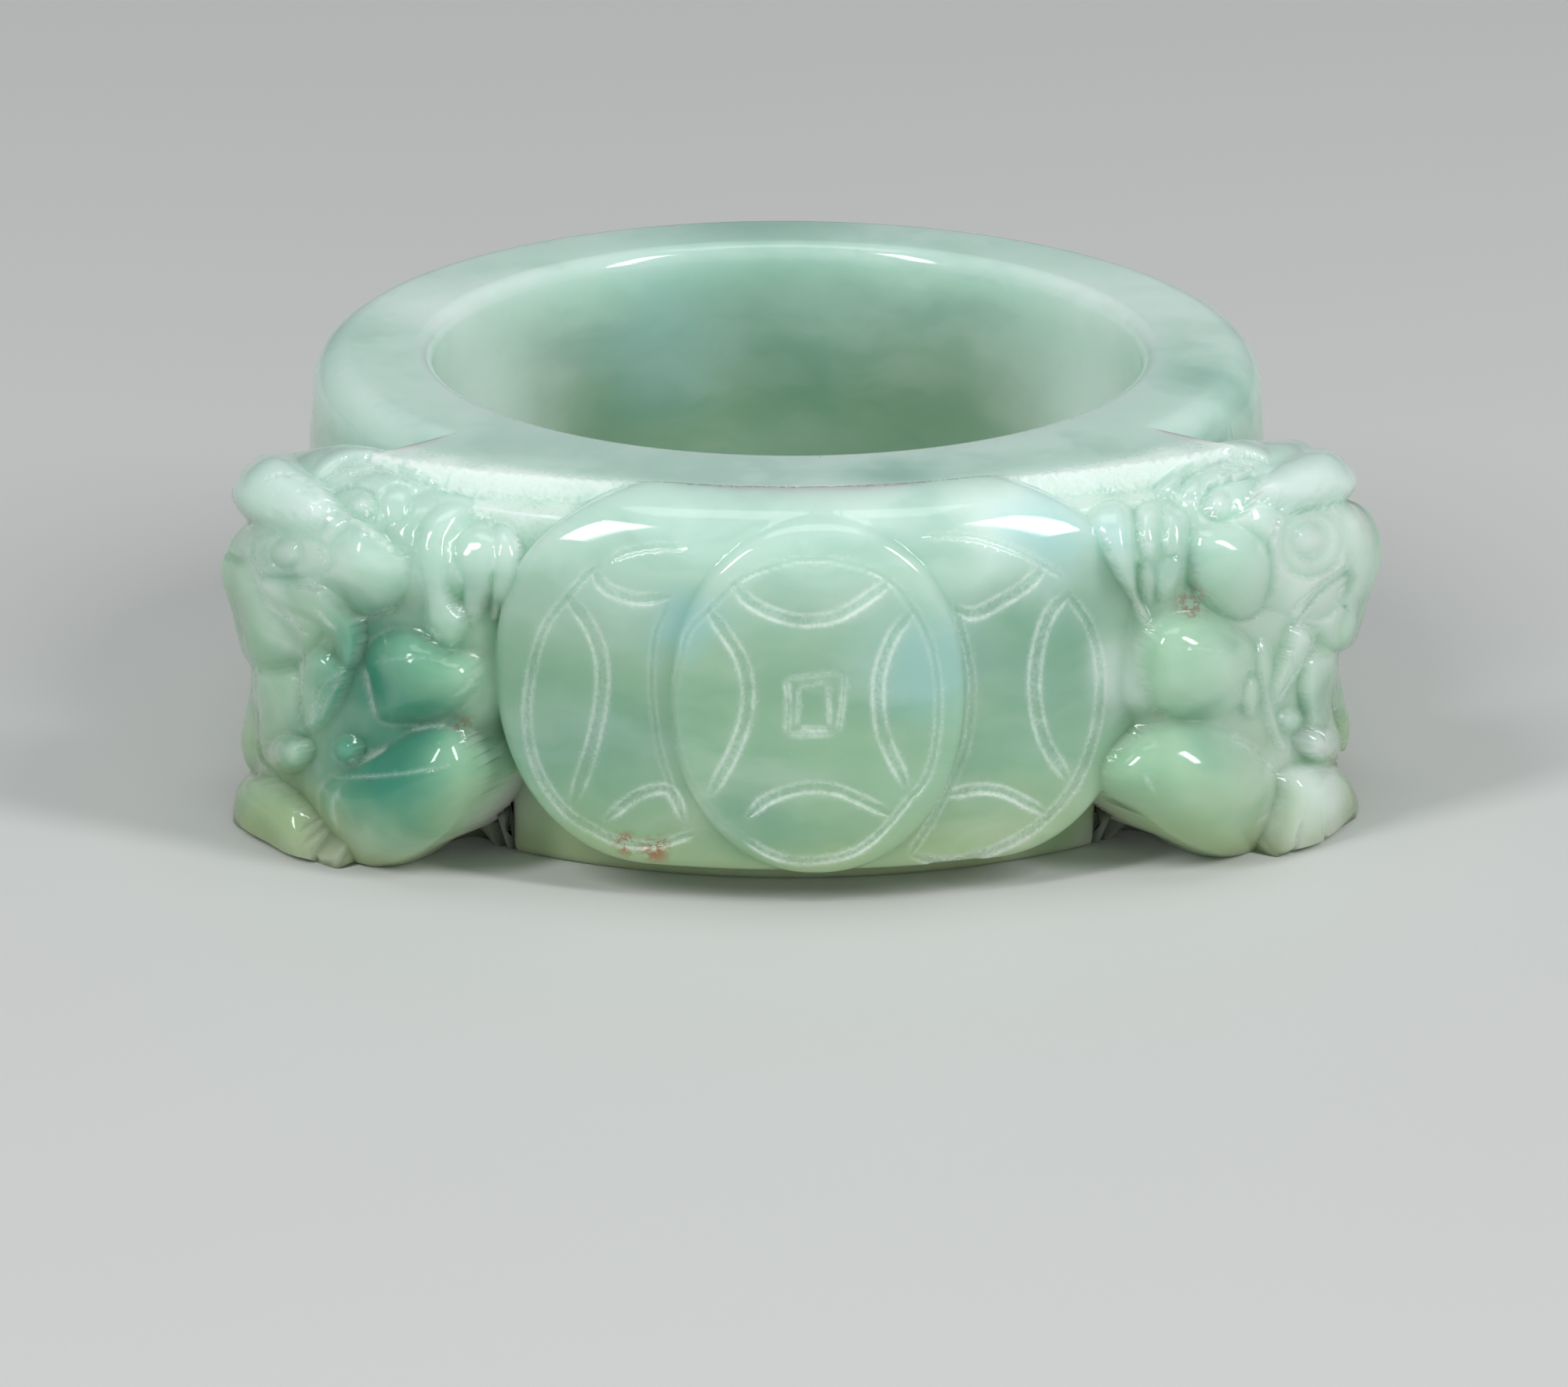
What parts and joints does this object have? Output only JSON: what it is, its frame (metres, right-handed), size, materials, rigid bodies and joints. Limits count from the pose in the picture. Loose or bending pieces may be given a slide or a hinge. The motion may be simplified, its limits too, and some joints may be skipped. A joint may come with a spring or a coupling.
{
  "type": "jadeite ring",
  "caption": "Broad finger ring carved from one piece of jade, with three overlapping old coins on the front, the middle one with a square hole drawn on it, and a crouching beast at each side of them.",
  "frame": {"origin": "middle of the finger bore, on its axis and at half the band's height", "axes": "+Z along the bore, away from the flat side that the ring lies on; -Y towards the carved front; +X to the right when the front is looked at"},
  "size_m": [0.0304, 0.0284, 0.0107],
  "materials": {
    "jade": "polished and translucent, with frosted carving lines"
  },
  "bodies": {
    "root": {"jadeite_ring": "jade"}
  },
  "joints": []
}
